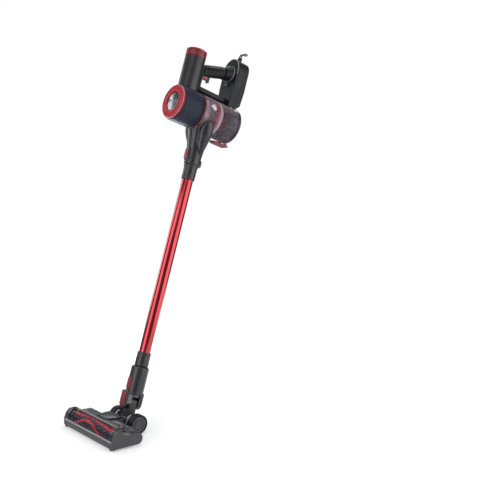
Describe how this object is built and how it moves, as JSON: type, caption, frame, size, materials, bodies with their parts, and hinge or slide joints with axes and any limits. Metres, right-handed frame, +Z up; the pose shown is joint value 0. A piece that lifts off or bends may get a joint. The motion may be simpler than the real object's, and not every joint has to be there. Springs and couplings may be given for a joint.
{
  "type": "cordless stick vacuum",
  "caption": "Cordless stick vacuum with a brush floor head, wand, clear dust bin, handle and slide-on battery.",
  "frame": {"origin": "on the floor under the middle of the whole vacuum in its leaning pose", "axes": "+Z up, -Y towards the front of the floor head, X across the head"},
  "size_m": [0.283, 0.5874, 1.1262],
  "materials": {
    "charcoal": "satin",
    "head_grey": "satin",
    "red_plastic": "gloss",
    "red_anodised": "anodised satin",
    "clear_smoke": "clear gloss",
    "black": "satin",
    "rubber": "matte",
    "steel": "brushed",
    "filter_white": "matte",
    "cell_blue": "satin"
  },
  "bodies": {
    "head": {"head_base": "charcoal", "head_deck": "head_grey", "centre_cover": "head_grey", "side_cap_left": "head_grey", "side_cap_right": "head_grey", "front_bumper": "head_grey", "brush_window": "clear_smoke", "brush_motor": "steel", "drive_belt": "rubber", "pivot_yoke": "charcoal", "wheel_axle": "steel"},
    "brush": {"brush_roller": "black", "bristle_rows": "red_plastic"},
    "pinion": {"brush_pinion": "steel"},
    "lock": {"end_lock": "red_plastic"},
    "wheel_l": {"wheel_left": "rubber", "wheel_hub_left": "charcoal"},
    "wheel_r": {"wheel_right": "rubber", "wheel_hub_right": "charcoal"},
    "roller_l": {"front_roller_left": "rubber"},
    "roller_r": {"front_roller_right": "rubber"},
    "hub": {"pitch_hub": "charcoal"},
    "neck": {"neck_sleeve": "charcoal", "neck_bellows": "rubber", "swivel_pin": "steel"},
    "neck_release": {"neck_button": "red_plastic"},
    "pedal": {"neck_pedal": "red_plastic"},
    "wand": {"lower_collar": "charcoal", "wand_tube": "red_anodised", "upper_collar": "charcoal"},
    "hand_unit": {"inlet_duct": "charcoal", "upper_shell": "clear_smoke", "dust_cup": "clear_smoke", "seal_ring": "red_plastic", "step_ring": "clear_smoke", "cyclone_cone": "red_plastic", "filter_housing": "charcoal", "filter_element": "filter_white", "motor_housing": "charcoal", "fan_motor": "steel", "exhaust_filter": "filter_white", "spine_frame": "charcoal", "handle": "charcoal", "handle_foot": "black", "finger_hook": "black"},
    "wand_release": {"duct_button": "red_plastic"},
    "filter_cap": {"top_ring": "red_plastic", "top_disc": "steel"},
    "lid": {"cup_lid": "black", "lid_seal": "rubber"},
    "latch": {"cup_latch": "red_plastic"},
    "exhaust_cap": {"motor_cap": "red_plastic"},
    "fan": {"impeller": "steel"},
    "trigger": {"trigger": "red_plastic"},
    "battery": {"battery_case": "charcoal", "battery_cover": "charcoal", "battery_cells": "cell_blue", "cord_boot": "black", "hang_loop": "black"},
    "battery_release": {"battery_button": "head_grey"}
  },
  "joints": [
    {"name": "brush_spin", "type": "hinge", "parent": "head", "child": "brush", "pos_m": [0, -0.256, 0.0262], "axis": [1, 0, 0], "continuous": true},
    {"name": "pinion_spin", "type": "hinge", "parent": "head", "child": "pinion", "pos_m": [-0.12, -0.2207, 0.023], "axis": [1, 0, 0], "continuous": true},
    {"name": "lock_turn", "type": "hinge", "parent": "head", "child": "lock", "pos_m": [0.102, -0.233, 0.046], "axis": [0, 0, 1], "range_deg": [0, 90]},
    {"name": "wheel_left_spin", "type": "hinge", "parent": "head", "child": "wheel_l", "pos_m": [-0.0525, -0.154, 0.028], "axis": [1, 0, 0], "continuous": true},
    {"name": "wheel_right_spin", "type": "hinge", "parent": "head", "child": "wheel_r", "pos_m": [0.0525, -0.154, 0.028], "axis": [1, 0, 0], "continuous": true},
    {"name": "front_roller_left_spin", "type": "hinge", "parent": "head", "child": "roller_l", "pos_m": [-0.1311, -0.2785, 0.004], "axis": [1, 0, 0], "continuous": true},
    {"name": "front_roller_right_spin", "type": "hinge", "parent": "head", "child": "roller_r", "pos_m": [0.1311, -0.2785, 0.004], "axis": [1, 0, 0], "continuous": true},
    {"name": "neck_pitch", "type": "hinge", "parent": "head", "child": "hub", "pos_m": [0, -0.154, 0.028], "axis": [-1, 0, 0], "range_deg": [-17.4, 60]},
    {"name": "neck_swivel", "type": "hinge", "parent": "hub", "child": "neck", "pos_m": [0, -0.13905, 0.07571], "axis": [0, -0.9542, 0.299], "range_deg": [-55, 55]},
    {"name": "neck_button_press", "type": "slide", "parent": "neck", "child": "neck_release", "axis": [0, 0.9542, -0.299], "range_m": [0, 0.002], "stiffness_N_per_m": 400},
    {"name": "pedal_press", "type": "slide", "parent": "neck", "child": "pedal", "axis": [0, 0.9542, -0.299], "range_m": [0, 0.002], "stiffness_N_per_m": 600},
    {"name": "wand_pull", "type": "slide", "parent": "neck", "child": "wand", "axis": [0, 0.299, 0.9542], "range_m": [0, 0.03]},
    {"name": "hand_unit_pull", "type": "slide", "parent": "wand", "child": "hand_unit", "axis": [0, 0.299, 0.9542], "range_m": [0, 0.02]},
    {"name": "duct_button_press", "type": "slide", "parent": "hand_unit", "child": "wand_release", "axis": [0, 0.9542, -0.299], "range_m": [0, 0.002], "stiffness_N_per_m": 400},
    {"name": "filter_cap_turn", "type": "hinge", "parent": "hand_unit", "child": "filter_cap", "pos_m": [0, 0.01736, 0.95938], "axis": [0, -0.9542, 0.299], "range_deg": [0, 30]},
    {"name": "lid_swing", "type": "hinge", "parent": "hand_unit", "child": "lid", "pos_m": [0, 0.24333, 0.95144], "axis": [1, 0, 0], "range_deg": [0, 90]},
    {"name": "latch_rock", "type": "hinge", "parent": "hand_unit", "child": "latch", "pos_m": [0, 0.18344, 0.84393], "axis": [-1, 0, 0], "range_deg": [0, 7], "stiffness_Nm_per_rad": 0.6},
    {"name": "exhaust_cap_turn", "type": "hinge", "parent": "hand_unit", "child": "exhaust_cap", "pos_m": [0, 0.09861, 1.10159], "axis": [0, 0.299, 0.9542], "range_deg": [0, 30]},
    {"name": "fan_spin", "type": "hinge", "parent": "hand_unit", "child": "fan", "pos_m": [0, 0.07468, 1.02525], "axis": [0, 0.299, 0.9542], "continuous": true},
    {"name": "trigger_pull", "type": "slide", "parent": "hand_unit", "child": "trigger", "axis": [0, 0.299, 0.9542], "range_m": [0, 0.004], "stiffness_N_per_m": 500},
    {"name": "battery_pull", "type": "slide", "parent": "hand_unit", "child": "battery", "axis": [0, 0.8862, 0.4633], "range_m": [0, 0.03]},
    {"name": "battery_button_press", "type": "slide", "parent": "battery", "child": "battery_release", "axis": [0, 0.9542, -0.299], "range_m": [0, 0.0015], "stiffness_N_per_m": 500}
  ],
  "couplings": [
    {"joint": "pinion_spin", "follows": "brush_spin", "ratio": 1.7143}
  ]
}
